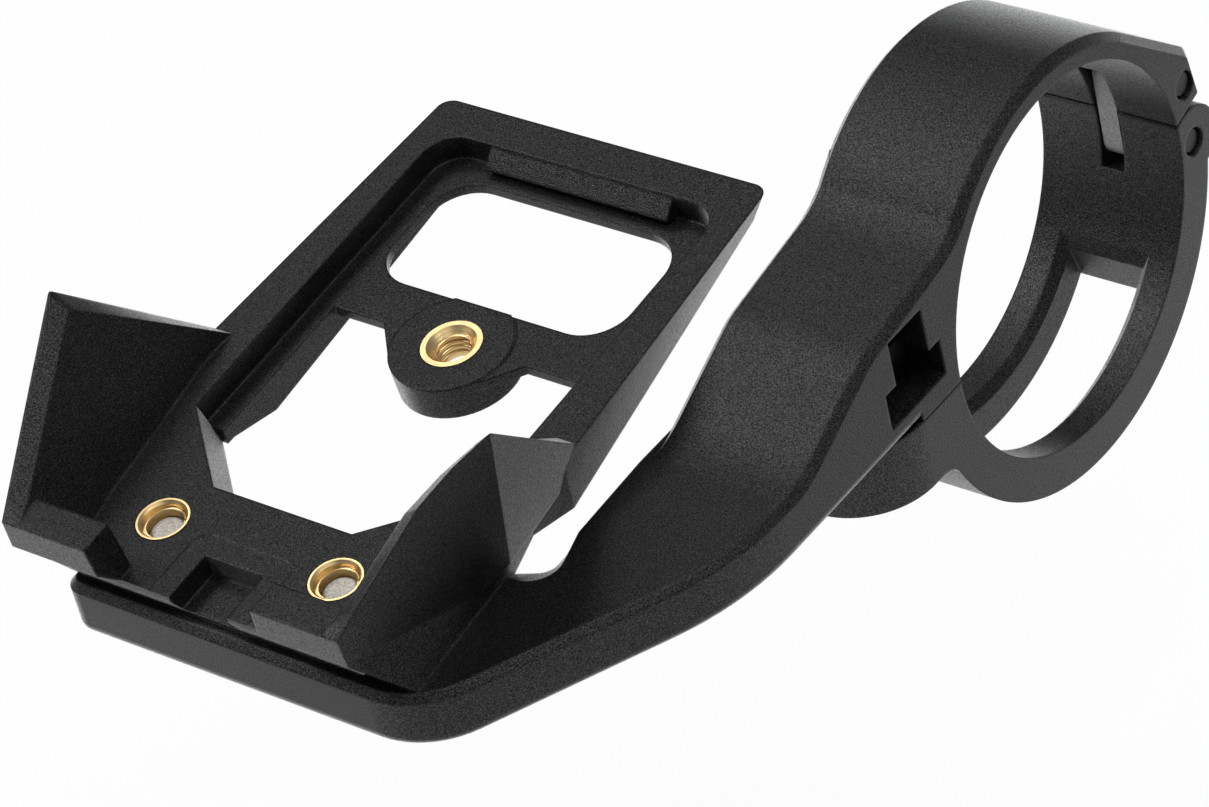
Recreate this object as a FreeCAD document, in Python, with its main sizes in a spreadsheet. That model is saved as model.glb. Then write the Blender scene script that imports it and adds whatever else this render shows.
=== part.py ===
"""Handlebar display mount: a one-arm moulding with a hinged clamp strap.

Millimetres. The origin is the centre of the clamp bore, half way along it.
+X runs along the handlebar, +Y from the cradle towards the bar, +Z up.
The arm's underside and the clamp's parting face lie in the plane z = 0.
The cradle is drawn level in its own frame and then tilted into place:
there x runs across it, y back from the front inserts, z up from its top face.
"""
import FreeCAD, Part
import math
import os
import re
import Sketcher
from FreeCAD import Placement, Rotation, Vector

SIZES = {
    # clamp ring and strap
    "bore_radius": 15.9,
    "clamp_width": 13.4,
    "ring_wall": 2.0,
    "strap_wall": 3.6,
    "parting_gap": 0.1,
    "rim_chamfer": 0.7,
    # clamp screw, nut and the foot of the strap
    "screw_reach": 21.0,
    "screw_radius": 1.95,
    "screw_hole_radius": 2.2,
    "screw_tip_height": 7.0,
    "head_radius": 3.4,
    "head_height": 3.2,
    "head_room": 0.25,
    "head_recess": 3.6,
    "socket_flats": 3.0,
    "socket_depth": 1.8,
    "head_edge": 0.3,
    "foot_depth": 6.2,
    "foot_blend": 2.2,
    "nut_width": 7.0,
    "nut_height": 3.0,
    "nut_room": 0.15,
    "nut_floor": 1.9,
    "nut_bore_radius": 2.0,
    "nut_edge": 0.4,
    "tip_room_height": 9.2,
    # hinge: two pins and the link between them
    "hinge_reach": 17.7,
    "body_pin_height": 4.5,
    "strap_pin_drop": 1.1,
    "pin_radius": 1.25,
    "pin_inset": 0.35,
    "pin_edge": 0.3,
    "pin_seat_room": 0.02,
    "pin_running_room": 0.05,
    "link_width": 1.8,
    "link_end_radius": 1.7,
    "link_corner_radius": 1.6,
    "link_side_room": 0.2,
    "link_end_room": 0.4,
    "link_tail": 2.6,
    "ear_end": 19.8,
    "ear_top_angle": 50,
    "ear_end_height": 7.0,
    "ear_floor_outer": 2.75,
    "ear_floor_inner": 1.25,
    "ear_edge": 0.6,
    "ear_corner_radius": 1.3,
    "strap_ear_radius": 3.1,
    # opening through the strap
    "window_half_width": 3.5,
    "window_inner_angle": -40,
    "window_first_angle": -47,
    "window_last_angle": -127,
    "window_bevel": 0.75,
    # arm and the hull under the cradle's front
    "arm_height": 4.9,
    "arm_left": 6.0,
    "arm_overlap": 24.0,
    "hull_front": 67.2,
    "hull_left": 40.3,
    "hull_rear": 56.4,
    "hull_corner": 5.7,
    "hull_corner_radius": 7.5,
    "hull_left_radius": 1.6,
    "arm_bend": 44.0,
    "arm_bend_radius": 24.0,
    "slot_end": 50.4,
    "slot_end_radius": 1.6,
    "slot_slant": 1.5,
    "slot_reach": 16.3,
    "scoop_depth": 0.7,
    "scoop_left": 9.2,
    "scoop_run": 2.3,
    "scoop_side": 1.7,
    "scoop_length": 4.0,
    "scoop_radius": 2.4,
    "hull_edge": 0.6,
    "hull_base_edge": 1.1,
    # neck from the arm up to the ring
    "neck_front": 38.0,
    "neck_foot": 35.5,
    "neck_foot_radius": 9.0,
    "neck_shoulder": 25.5,
    "neck_shoulder_height": 9.7,
    "neck_shoulder_radius": 7.0,
    "neck_top": 13.5,
    "neck_top_height": 11.75,
    "neck_blend_radius": 8.0,
    "neck_meet_angle": 52,
    # cradle, in its own tilted frame
    "cradle_offset": 25.83,
    "insert_reach": 60.7,
    "floor_height": 8.0,
    "cradle_tilt": 5.6,
    "frame_end": 46.8,
    "frame_end_half": 16.0,
    "frame_end_base_half": 14.2,
    "frame_end_depth": 3.0,
    "frame_corner_radius": 1.2,
    "rail_start": 16.3,
    "rail_half": 17.9,
    "rail_base_half": 17.3,
    "rail_depth": 5.1,
    "waist": 11.6,
    "waist_half": 17.9,
    "waist_base_half": 17.2,
    "waist_depth": 3.6,
    "front_reach": 6.3,
    "front_half": 16.6,
    "front_base_half": 13.5,
    "front_depth": 3.2,
    "undercut": 1.3,
    "undercut_top": 0.6,
    # recess, window and opening in the cradle floor
    "recess_half": 13.9,
    "frame_end_wall": 3.4,
    "recess_depth": 2.2,
    "recess_corner_radius": 2.8,
    "floor_edge": 4.2,
    "floor_edge_half": 6.8,
    "floor_corner": 10.8,
    "floor_wall": 0.9,
    "relief_start": 20.0,
    "latch_half": 9.0,
    "latch_top": 0.25,
    "latch_tip": 1.45,
    "latch_nose": 0.15,
    "latch_depth": 1.35,
    "latch_root": 0.3,
    "view_half": 11.7,
    "view_start": 29.4,
    "view_end": 41.1,
    "view_radius": 3.7,
    "opening_half": 12.0,
    "opening_end": 25.3,
    "web_half": 7.0,
    "web_tip_half": 4.4,
    "web_tip": 22.4,
    # boss, inserts and set screws
    "insert_half_gap": 8.5,
    "rear_insert_reach": 25.1,
    "boss_radius": 5.1,
    "boss_depth": 5.0,
    "boss_rise": 0.2,
    "front_insert_radius": 2.15,
    "rear_insert_radius": 2.5,
    "insert_length": 4.2,
    "rear_insert_length": 2.8,
    "insert_bore_radius": 1.5,
    "insert_mouth": 0.55,
    "insert_wall": 0.37,
    "insert_step": 0.55,
    "insert_rim": 0.2,
    "insert_seat_room": 0.02,
    "insert_groove": 0.2,
    "set_screw_radius": 1.45,
    "set_screw_length": 2.9,
    "set_screw_inset": 1.1,
    "set_screw_edge": 0.25,
    # front lips and the cable notch between them
    "lip_inner": 8.1,
    "lip_flare": 0.5,
    "lip_outer": 16.4,
    "lip_rear": 4.9,
    "lip_front": 7.9,
    "lip_top": 4.4,
    "lip_chin": 1.75,
    "lip_throat": 5.6,
    "lip_root": 1.0,
    "notch_half": 2.85,
    "notch_end": 1.8,
    "notch_depth": 2.0,
    "step_half": 4.8,
    "step_end": 0.1,
    "step_depth": 0.08,
    "step_radius": 1.3,
    # wings
    "wing_start": 18.2,
    "wing_peak": 7.9,
    "wing_crest": 4.5,
    "wing_brow": 1.0,
    "brow_rise": 1.6,
    "wing_tip_height": 12.3,
    "wing_tip_radius": 0.9,
    "wing_tip_lean": 1.4,
    "wing_lip_lean": 0.7,
    "wing_tip_outer": 21.4,
    "wing_tip_inner": 19.9,
    "wing_tip_base_inner": 14.2,
    "wing_tip_base_outer": 18.3,
    "wing_rear_inner": 16.0,
    "wing_rear_outer": 17.75,
    "wing_rear_base_outer": 17.3,
    "wing_sink": 2.4,
    "wing_front_inner": 14.8,
    "wing_front_base_inner": 12.2,
    "wing_front_base_outer": 16.5,
    # skirt that carries the right wing down to the hull
    "skirt_inner": 12.5,
    "skirt_rear_outer": 17.3,
    "skirt_rear_top": 17.9,
    "skirt_waist_outer": 17.4,
    "skirt_waist_top": 18.2,
    "skirt_waist_sink": 4.9,
    "skirt_corner": 4.7,
    "skirt_corner_outer": 19.5,
    "skirt_corner_top": 16.8,
    "skirt_corner_sink": 3.2,
    "skirt_corner_height": 1.4,
    "skirt_nose": 0.4,
}

doc = FreeCAD.newDocument("handlebar_display_mount")
sheet = doc.addObject("Spreadsheet::Sheet", "Sizes")
for row, (size_name, size_value) in enumerate(SIZES.items(), start=1):
    sheet.set(f"A{row}", size_name)
    sheet.set(f"B{row}", str(size_value))
    sheet.setAlias(f"B{row}", size_name)
doc.recompute()

TOUCHING = 0.01
LEVEL = Placement()
FACING_FRONT = Placement(Vector(), Rotation(Vector(1, 0, 0), 90))
FACING_RIGHT = Placement(Vector(), Rotation(Vector(1, 1, 1), 120))
ALONG_X = Placement(Vector(), Rotation(Vector(0, 1, 0), 90))
ALONG_Y = Placement(Vector(), Rotation(Vector(1, 0, 0), 90))


def bound(text):
    """An expression in plain size names, with each name pointed at its cell."""
    return re.sub(r"[a-z_]+", lambda word: cell(word.group()), str(text))


def cell(word):
    return "Sizes." + word if word in SIZES else word


def value(text):
    """The number that an expression in size names stands for."""
    return float(sheet.evalExpression(bound(text)))


def place(thing, x="0", y="0", z="0"):
    """Tie where a thing stands to sizes."""
    for axis, text in (("x", x), ("y", y), ("z", z)):
        thing.setExpression("Placement.Base." + axis, bound(text))


def outline(name, corners, facing=LEVEL, body=None, **where):
    """A closed sketch through corners (x, y) or (x, y, radius), each tied to sizes."""
    if body is None:
        sketch = doc.addObject("Sketcher::SketchObject", name)
    else:
        sketch = body.newObject("Sketcher::SketchObject", name)
    sketch.Placement = facing
    if where:
        place(sketch, **where)
    points = [Vector(value(corner[0]), value(corner[1]), 0) for corner in corners]
    entries, exits, arcs = [], [], []
    for index, corner in enumerate(corners):
        point = points[index]
        before = (points[index - 1] - point).normalize()
        after = (points[(index + 1) % len(points)] - point).normalize()
        if len(corner) == 2:
            entries.append(point)
            exits.append(point)
            arcs.append(None)
            continue
        half = before.getAngle(after) / 2
        radius = value(corner[2])
        run = radius / math.tan(half)
        entries.append(point + before * run)
        exits.append(point + after * run)
        middle = point + (before + after).normalize() * (radius ** 2 + run ** 2) ** 0.5
        arcs.append((middle, radius, before.cross(after).z < 0))
    lines = []
    for index in range(len(points)):
        following = (index + 1) % len(points)
        segment = Part.LineSegment(exits[index], entries[following])
        lines.append(sketch.addGeometry(segment, False))
    for index, corner in enumerate(corners):
        incoming = lines[index - 1]
        outgoing = lines[index]
        if arcs[index] is None:
            sketch.addConstraint(Sketcher.Constraint("Coincident", incoming, 2, outgoing, 1))
            fix_point(sketch, outgoing, 1, corner)
            continue
        middle, radius, turns_left = arcs[index]
        first, last = entries[index], exits[index]
        if not turns_left:
            first, last = last, first
        circle = Part.Circle(middle, Vector(0, 0, 1), radius)
        arc = sketch.addGeometry(
            Part.ArcOfCircle(circle, circle.parameter(first), circle.parameter(last)), False)
        start, end = (1, 2) if turns_left else (2, 1)
        sketch.addConstraint(Sketcher.Constraint("Tangent", incoming, 2, arc, start))
        sketch.addConstraint(Sketcher.Constraint("Tangent", outgoing, 1, arc, end))
        number = sketch.addConstraint(Sketcher.Constraint("Radius", arc, radius))
        sketch.setExpression(f"Constraints[{number}]", bound(corner[2]))
        peg = sketch.addGeometry(Part.Point(points[index]), True)
        sketch.addConstraint(Sketcher.Constraint("PointOnObject", peg, 1, incoming))
        sketch.addConstraint(Sketcher.Constraint("PointOnObject", peg, 1, outgoing))
        fix_point(sketch, peg, 1, corner)
    return sketch


def fix_point(sketch, element, end, corner):
    """Tie one point of a sketch to two expressions in sizes."""
    for kind, text in (("DistanceX", corner[0]), ("DistanceY", corner[1])):
        rule = Sketcher.Constraint(kind, -1, 1, element, end, value(text))
        number = sketch.addConstraint(rule)
        sketch.setExpression(f"Constraints[{number}]", bound(text))


def extrude(name, sketch, length, both_ways=False, backwards=False):
    solid = doc.addObject("Part::Extrusion", name)
    solid.Base = sketch
    solid.DirMode = "Normal"
    solid.Solid = True
    solid.Symmetric = both_ways
    solid.Reversed = backwards
    solid.setExpression("LengthFwd", bound(length))
    return solid


def cylinder(name, radius, height, facing=LEVEL, **where):
    solid = doc.addObject("Part::Cylinder", name)
    solid.setExpression("Radius", bound(radius))
    solid.setExpression("Height", bound(height))
    solid.Placement = facing
    place(solid, **where)
    return solid


def box(name, length, width, height, **where):
    solid = doc.addObject("Part::Box", name)
    solid.setExpression("Length", bound(length))
    solid.setExpression("Width", bound(width))
    solid.setExpression("Height", bound(height))
    place(solid, **where)
    return solid


def loft(name, sections):
    solid = doc.addObject("Part::Loft", name)
    solid.Sections = sections
    solid.Solid = True
    solid.Ruled = True
    return solid


def mirrored(name, source):
    solid = doc.addObject("Part::Mirroring", name)
    solid.Source = source
    solid.Normal = Vector(1, 0, 0)
    return solid


def fuse(name, pieces):
    solid = doc.addObject("Part::MultiFuse", name)
    solid.Shapes = pieces
    solid.Refine = True
    return solid


def cut(name, base, tools):
    solid = doc.addObject("Part::Cut", name)
    solid.Base = base
    solid.Tool = tools[0] if len(tools) == 1 else fuse(name + "_tools", tools)
    solid.Refine = True
    return solid


def edged(kind, name, base, size, wanted):
    """Round or bevel those edges of a solid that a test picks."""
    doc.recompute()
    solid = doc.addObject("Part::" + kind, name)
    solid.Base = base
    amount = value(size)
    picked = [n for n, edge in enumerate(base.Shape.Edges, start=1) if wanted(edge)]
    solid.Edges = [(n, amount, amount) for n in picked]
    return solid


def ends(edge):
    return [vertex.Point for vertex in edge.Vertexes]


def near(one, other):
    return abs(one - other) < TOUCHING


def seat_on_cradle(thing, x, y, z):
    """Tie a piece to a place in the cradle's tilted frame."""
    slope = "cradle_tilt * 1deg"
    thing.Placement = Placement(Vector(), Rotation(Vector(1, 0, 0), value("cradle_tilt")))
    place(
        thing,
        x=f"({x}) - cradle_offset",
        y=f"({y}) * cos({slope}) - ({z}) * sin({slope}) - insert_reach",
        z=f"({y}) * sin({slope}) + ({z}) * cos({slope}) + floor_height",
    )
    thing.setExpression("Placement.Rotation.Angle", bound("cradle_tilt"))


def new_body(label):
    body = doc.addObject("PartDesign::Body", label)
    body.Label = label
    return body


def origin_plane(body, role):
    return next(item for item in body.Origin.OriginFeatures if item.Role == role)


def on_plane(body, sketch, role="XY_Plane"):
    sketch.AttachmentSupport = [(origin_plane(body, role), "")]
    sketch.MapMode = "FlatFace"
    return sketch


def turned(label, corners):
    """A body of revolution about its own Z axis from a half section (radius, height)."""
    body = new_body(label)
    section = on_plane(body, outline(label + "_section", corners, body=body), "XZ_Plane")
    feature = body.newObject("PartDesign::Revolution", label + "_turn")
    feature.Profile = section
    feature.ReferenceAxis = (section, ["V_Axis"])
    feature.Angle = 360
    return body


# Clamp ring: the upper half, with the ear that carries the hinge

RING_OUTER = "bore_radius + ring_wall"
STRAP_OUTER = "bore_radius + strap_wall"
LINK_SLOT = "link_width + 2 * link_side_room"

ring_blank = cylinder("ring_blank", RING_OUTER, "clamp_width", ALONG_X, x="-clamp_width / 2")
ring_disc = edged("Chamfer", "ring_disc", ring_blank, "rim_chamfer",
                  lambda edge: len(edge.Vertexes) == 1)
NECK_MEET = "-(bore_radius + ring_wall) * cos(neck_meet_angle * 1deg)"
NECK_MEET_RISE = "(bore_radius + ring_wall) * sin(neck_meet_angle * 1deg)"
neck_side = outline("neck_side", [
    ("-neck_front", "0"),
    ("-neck_front", "arm_height"),
    ("-neck_foot", "arm_height", "neck_foot_radius"),
    ("-neck_shoulder", "neck_shoulder_height", "neck_shoulder_radius"),
    ("-neck_top", "neck_top_height", "neck_blend_radius"),
    (NECK_MEET, NECK_MEET_RISE),
    ("0", NECK_MEET_RISE),
    ("0", "0"),
], FACING_RIGHT)
neck_blank = extrude("neck_blank", neck_side, "clamp_width", both_ways=True)
neck_topped = edged("Chamfer", "neck_topped", neck_blank, "rim_chamfer", lambda edge: (
    near(abs(ends(edge)[0].x), value("clamp_width / 2"))
    and near(ends(edge)[0].x, ends(edge)[-1].x)
    and min(point.z for point in ends(edge)) > value("arm_height") - TOUCHING
    and max(point.y for point in ends(edge)) < value(NECK_MEET) + TOUCHING
))
neck_corner = box("neck_corner", "2 * hull_base_edge", "2 * neck_front - screw_reach", "2 * hull_base_edge",
                  x="clamp_width / 2 - hull_base_edge", y="-2 * neck_front", z="-hull_base_edge")
neck_round = cylinder("neck_round", "hull_base_edge", "2 * neck_front", ALONG_Y,
                      x="clamp_width / 2 - hull_base_edge", z="hull_base_edge")
neck = cut("neck", neck_topped, [cut("neck_base_edge", neck_corner, [neck_round])])
EAR_RISE = "(bore_radius + ring_wall) * sin(ear_top_angle * 1deg)"
EAR_START = "(bore_radius + ring_wall) * cos(ear_top_angle * 1deg)"
ear_side = outline("ear_side", [
    (EAR_START, EAR_RISE),
    ("0", EAR_RISE),
    ("0", "ear_floor_inner"),
    ("bore_radius - ring_wall", "ear_floor_inner"),
    ("ear_end - ear_edge", "ear_floor_outer"),
    ("ear_end", "ear_floor_outer + ear_edge"),
    ("ear_end - ear_edge", "ear_end_height", "ear_corner_radius"),
], FACING_RIGHT)
ear_blank = extrude("ear_blank", ear_side, "clamp_width", both_ways=True)
ear = edged("Chamfer", "ear", ear_blank, "rim_chamfer", lambda edge: (
    near(abs(ends(edge)[0].x), value("clamp_width / 2"))
    and near(ends(edge)[0].x, ends(edge)[-1].x)
    and min(point.y for point in ends(edge)) > value(EAR_START) - TOUCHING
    and min(point.z for point in ends(edge)) > value("ear_floor_outer")
))
below_ring = outline("below_ring", [
    ("-bore_radius - 2 * strap_wall", "0"),
    ("bore_radius - ring_wall", "0"),
    ("bore_radius - ring_wall", "ear_floor_inner"),
    ("ear_end - ear_edge", "ear_floor_outer"),
    ("ear_end + ear_edge", "ear_floor_outer"),
    ("ear_end + ear_edge", "-ear_end"),
    ("-bore_radius - 2 * strap_wall", "-ear_end"),
], FACING_RIGHT)
lower_half = extrude("lower_half", below_ring, "2 * clamp_width", both_ways=True)
upper_ring = cut("upper_ring", fuse("ring_and_ear", [ring_disc, ear]), [lower_half])

# Arm and hull: one flat-bottomed slab that turns the corner under the cradle

slab_plan = outline("slab_plan", [
    ("-hull_left", "-hull_front", "hull_left_radius"),
    ("-hull_corner", "-hull_front", "hull_corner_radius"),
    ("clamp_width / 2", "-arm_bend", "arm_bend_radius"),
    ("clamp_width / 2", "-arm_overlap"),
    ("-clamp_width / 2", "-arm_overlap"),
    ("-clamp_width / 2", "-neck_front"),
    ("-arm_left", "-slot_end", "slot_end_radius"),
    ("-scoop_left", "-slot_end - slot_slant"),
    ("-slot_reach", "-slot_end - slot_slant"),
    ("-cradle_offset + floor_edge_half - recess_half + opening_half", "-hull_rear"),
    ("-hull_left", "-hull_rear"),
])
slab_blank = extrude("slab_blank", slab_plan, "arm_height")


def on_outer_side(edge):
    """Whether a level edge of the slab lies along its front or its outer side."""
    middle = edge.CenterOfMass
    return near(ends(edge)[0].z, ends(edge)[-1].z) and (
        middle.x > 0 and middle.y < value("-neck_front")
        or middle.y < value("hull_left_radius - hull_front"))


slab_topped = edged("Chamfer", "slab_topped", slab_blank, "hull_edge", lambda edge: (
    on_outer_side(edge) and near(ends(edge)[0].z, value("arm_height"))
))
slab_rounded = edged("Fillet", "slab_rounded", slab_topped, "hull_base_edge", lambda edge: (
    on_outer_side(edge) and near(ends(edge)[0].z, 0)
))
ARM_EDGE = "-arm_left - (clamp_width / 2 - arm_left) * scoop_length / (slot_end - neck_front)"
scoop = loft("scoop", [
    outline("scoop_floor", [
        ("-scoop_left", "-slot_end - slot_slant"),
        ("-arm_left", "-slot_end", "slot_end_radius"),
        (ARM_EDGE, "scoop_length - slot_end"),
        ("-scoop_left", "scoop_length - slot_end"),
    ], z="arm_height - scoop_depth"),
    outline("scoop_rim", [
        ("-scoop_left", "-slot_end - scoop_run"),
        ("scoop_side - arm_left", "-slot_end - scoop_run", "scoop_radius"),
        (ARM_EDGE, "scoop_length - slot_end"),
        ("-scoop_left", "scoop_length - slot_end"),
    ], z="arm_height"),
])
slab = cut("slab", slab_rounded, [scoop])

# Cradle pan: a shallow boat-shaped tray, level with its own frame


def pan_section(name, y, top_half, base_half, depth):
    return outline(name, [
        (f"-({top_half})", "0"),
        (f"-({base_half})", f"-({depth})"),
        (base_half, f"-({depth})"),
        (top_half, "0"),
    ], FACING_FRONT, y=y)


pan_blank = loft("pan_blank", [
    pan_section("pan_end", "frame_end", "frame_end_half", "frame_end_base_half", "frame_end_depth"),
    pan_section("pan_rail", "rail_start", "rail_half", "rail_base_half", "rail_depth"),
    pan_section("pan_waist", "waist", "waist_half", "waist_base_half", "waist_depth"),
    pan_section("pan_front", "-front_reach", "front_half", "front_base_half", "front_depth"),
])
pan_rounded = edged("Fillet", "pan_rounded", pan_blank, "frame_corner_radius", lambda edge: (
    all(near(point.y, value("frame_end")) for point in ends(edge))
    and not near(ends(edge)[0].z, ends(edge)[-1].z)
))

front_side = outline("front_side", [
    ("-front_reach - undercut", "-undercut_top"),
    ("-front_reach", "-undercut_top"),
    ("undercut - front_reach", "-front_depth"),
    ("undercut - front_reach", "-front_depth - undercut_top"),
    ("-front_reach - undercut", "-front_depth - undercut_top"),
], FACING_RIGHT)
front_undercut = extrude("front_undercut", front_side, "2 * waist_half", both_ways=True)
pan = cut("pan", pan_rounded, [front_undercut])

# Wings: fins that lean outwards, highest half way along


def wing_section(name, y, inner, outer, top_inner, top_outer, low, high, lean="0"):
    return outline(name, [
        (inner, low),
        (outer, low),
        (top_outer, high),
        (top_inner, f"{high} - ({lean})"),
    ], FACING_FRONT, y=y)


def part_way(front, tip, back):
    """A size on the straight edge from the lip up to the tip, at a place along it."""
    return f"{front} + ({tip} - {front}) * (lip_front + {back}) / (lip_front + wing_peak)"


def edge_section(name, back, low, rise):
    """A section on the front edge of a wing, raised above the straight line."""
    return wing_section(
        name, back,
        part_way("wing_front_base_inner", "wing_tip_base_inner", back),
        part_way("wing_front_base_outer", "wing_tip_base_outer", back),
        part_way("wing_front_inner", "wing_tip_inner", back),
        part_way("lip_outer", "wing_tip_outer", back),
        low, f"{part_way('lip_top', 'wing_tip_height', back)} + {rise}",
        part_way("wing_lip_lean", "wing_tip_lean", back))


def wing(name, brow):
    """A wing on the right side, with a front edge that bulges by the height of its brow."""
    blank = loft(f"{name}_blank", [
        wing_section(f"{name}_rear", "wing_start", "wing_rear_inner", "wing_rear_base_outer",
                     "wing_rear_inner", "wing_rear_outer", "-wing_sink", "0"),
        wing_section(f"{name}_tip", "wing_peak", "wing_tip_base_inner", "wing_tip_base_outer",
                     "wing_tip_inner", "wing_tip_outer", "-wing_sink", "wing_tip_height", "wing_tip_lean"),
        edge_section(f"{name}_crest", "wing_crest", "-wing_sink", f"2 / 3 * {brow}"),
        edge_section(f"{name}_brow", "wing_brow", "-wing_sink", brow),
        edge_section(f"{name}_throat", "-lip_throat", "-lip_root", f"{brow} / 3"),
        wing_section(f"{name}_lip", "-lip_front", "wing_front_base_inner", "wing_front_base_outer",
                     "wing_front_inner", "lip_outer", "lip_chin", "lip_top"),
    ])
    return edged("Fillet", name, blank, "wing_tip_radius", lambda edge: (
        all(near(point.y, value("wing_peak")) for point in ends(edge))
        and min(point.z for point in ends(edge)) > value("wing_tip_height - 2 * wing_tip_lean")
    ))


# The right wing's front edge is arched, the left one's is straight
right_wing = wing("right_wing", "brow_rise")
left_wing = mirrored("left_wing", wing("straight_wing", "0"))
skirt = loft("skirt", [
    wing_section("skirt_rear", "waist", "skirt_inner", "skirt_rear_outer",
                 "skirt_inner", "skirt_rear_top", "-waist_depth", "-wing_sink / 2"),
    wing_section("skirt_waist", "wing_peak", "skirt_inner", "skirt_waist_outer",
                 "skirt_inner", "skirt_waist_top", "-skirt_waist_sink", "-wing_sink / 2"),
    wing_section("skirt_corner", "-skirt_corner", "skirt_inner", "skirt_corner_outer",
                 "skirt_inner", "skirt_corner_top", "-skirt_corner_sink", "skirt_corner_height"),
    wing_section("skirt_tip", "-lip_front", "wing_front_inner", "lip_outer",
                 "wing_front_inner", "lip_outer", "lip_chin", "lip_chin + skirt_nose"),
])

# Front lips, split by the cable notch

lip_side = outline("lip_side", [
    ("-lip_rear", "-lip_root"),
    ("-lip_rear", "lip_top"),
    ("-lip_front", "lip_top"),
    ("-lip_front", "lip_chin"),
    ("-lip_throat", "-lip_root"),
], FACING_RIGHT, x="lip_inner - lip_flare")
lip_bar = extrude("lip_bar", lip_side, "lip_outer - lip_inner + lip_flare")
lip_slope = outline("lip_slope", [
    ("lip_inner - 3 * lip_flare", "lip_top + lip_root"),
    ("lip_inner + lip_flare / 3", "lip_top + lip_root"),
    ("lip_inner - lip_flare", "-lip_root / 2"),
    ("lip_inner - 3 * lip_flare", "-lip_root / 2"),
], FACING_FRONT, y="-lip_rear + lip_root")
lip_bevel = extrude("lip_bevel", lip_slope, "lip_front")
right_lip = cut("right_lip", lip_bar, [lip_bevel])
left_lip = mirrored("left_lip", right_lip)

# Recess, viewing window, large opening and cable notch

RECESS_END = "frame_end - frame_end_wall"
recess_plan = outline("recess_plan", [
    ("-recess_half", "floor_corner"),
    ("recess_half", "floor_corner"),
    ("recess_half", RECESS_END, "recess_corner_radius"),
    ("-recess_half", RECESS_END, "recess_corner_radius"),
], z="-recess_depth")
recess = extrude("recess", recess_plan, "2 * recess_depth")


def mouth_section(name, z, inset):
    """One level of the opening's front end, which narrows downwards."""
    return outline(name, [
        (f"{inset} - floor_edge_half", "floor_edge"),
        (f"floor_edge_half - ({inset})", "floor_edge"),
        (f"recess_half - ({inset})", "floor_corner"),
        (f"{inset} - recess_half", "floor_corner"),
    ], z=z)


mouth = loft("mouth", [
    mouth_section("mouth_top", "0", "0"),
    mouth_section("mouth_base", "-rail_depth", "recess_half - opening_half"),
])
view_plan = outline("view_plan", [
    ("-view_half", "view_start", "view_radius"),
    ("view_half", "view_start", "view_radius"),
    ("view_half", "view_end", "view_radius"),
    ("-view_half", "view_end", "view_radius"),
], z="-2 * rail_depth")
view_hole = extrude("view_hole", view_plan, "2 * rail_depth")
opening_plan = outline("opening_plan", [
    ("-opening_half", "floor_corner"),
    ("opening_half", "floor_corner"),
    ("opening_half", "opening_end"),
    ("web_half", "opening_end"),
    ("web_tip_half", "web_tip"),
    ("-web_tip_half", "web_tip"),
    ("-web_half", "opening_end"),
    ("-opening_half", "opening_end"),
], z="-2 * rail_depth")
opening = extrude("opening", opening_plan, "2 * rail_depth")
relief = box("relief", "2 * opening_half", f"{RECESS_END} - relief_start", "rail_depth",
             x="-opening_half", y="relief_start", z="-recess_depth - floor_wall - rail_depth")
step_plan = outline("step_plan", [
    ("-step_half", "-2 * front_reach"),
    ("step_half", "-2 * front_reach"),
    ("step_half", "step_end", "step_radius"),
    ("-step_half", "step_end", "step_radius"),
], z="-step_depth")
cable_step = extrude("cable_step", step_plan, "recess_depth")
cable_notch = box("cable_notch", "2 * notch_half", "2 * front_reach", "2 * notch_depth",
                  x="-notch_half", y="-notch_end - 2 * front_reach", z="-notch_depth")
latch_side = outline("latch_side", [
    (f"{RECESS_END} + latch_root", "-latch_top"),
    (RECESS_END, "-latch_top"),
    (f"{RECESS_END} - latch_depth", "-latch_tip"),
    (f"{RECESS_END} - latch_depth", "-latch_tip - latch_nose"),
    (RECESS_END, "-recess_depth"),
    (f"{RECESS_END} + latch_root", "-recess_depth"),
], FACING_RIGHT)
latch_ledge = extrude("latch_ledge", latch_side, "2 * latch_half", both_ways=True)

boss = cylinder("boss", "boss_radius", "boss_depth - recess_depth + boss_rise",
                y="rear_insert_reach", z="-boss_depth")

pan_cut = cut("pan_cut", pan, [recess, mouth, opening, relief])
cradle_whole = fuse("cradle_whole", [
    pan_cut, boss, latch_ledge, right_wing, left_wing, skirt, right_lip, left_lip])
cradle = cut("cradle", cradle_whole, [view_hole, cable_step, cable_notch])
seat_on_cradle(cradle, "0", "0", "0")

# The whole moulding, with its bore, hinge slot and nut pocket

NUT_POCKET = "nut_width + 2 * nut_room"
bore = cylinder("bore", "bore_radius", "2 * clamp_width", ALONG_X, x="-clamp_width")
nut_pocket = box(
    "nut_pocket", "nut_width / 2 + nut_room + clamp_width", NUT_POCKET, "nut_height + 2 * nut_room",
    x="-nut_width / 2 - nut_room", y="-screw_reach - nut_width / 2 - nut_room", z="nut_floor")
tip_pocket = box(
    "tip_pocket", "screw_hole_radius + clamp_width", "2 * screw_hole_radius", "tip_room_height - nut_floor",
    x="-screw_hole_radius", y="-screw_reach - screw_hole_radius", z="nut_floor")
arm_screw_hole = cylinder("arm_screw_hole", "screw_hole_radius", "2 * nut_floor",
                          y="-screw_reach", z="-nut_floor / 2")
body_link_slot = box(
    "body_link_slot", LINK_SLOT, "4 * link_end_radius", "body_pin_height + link_end_radius + link_end_room",
    x=f"-({LINK_SLOT}) / 2", y="hinge_reach - 2 * link_end_radius", z="0")
body_pin_hole = cylinder("body_pin_hole", "pin_radius + pin_seat_room", "2 * clamp_width", ALONG_X,
                         x="-clamp_width", y="hinge_reach", z="body_pin_height")
insert_holes = []
for side, sign in (("left", "-"), ("right", "")):
    hole = cylinder(
        f"{side}_insert_hole", "front_insert_radius + insert_seat_room", "insert_length + recess_depth")
    seat_on_cradle(hole, f"{sign}insert_half_gap", "0", "-insert_length")
    insert_holes.append(hole)
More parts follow.
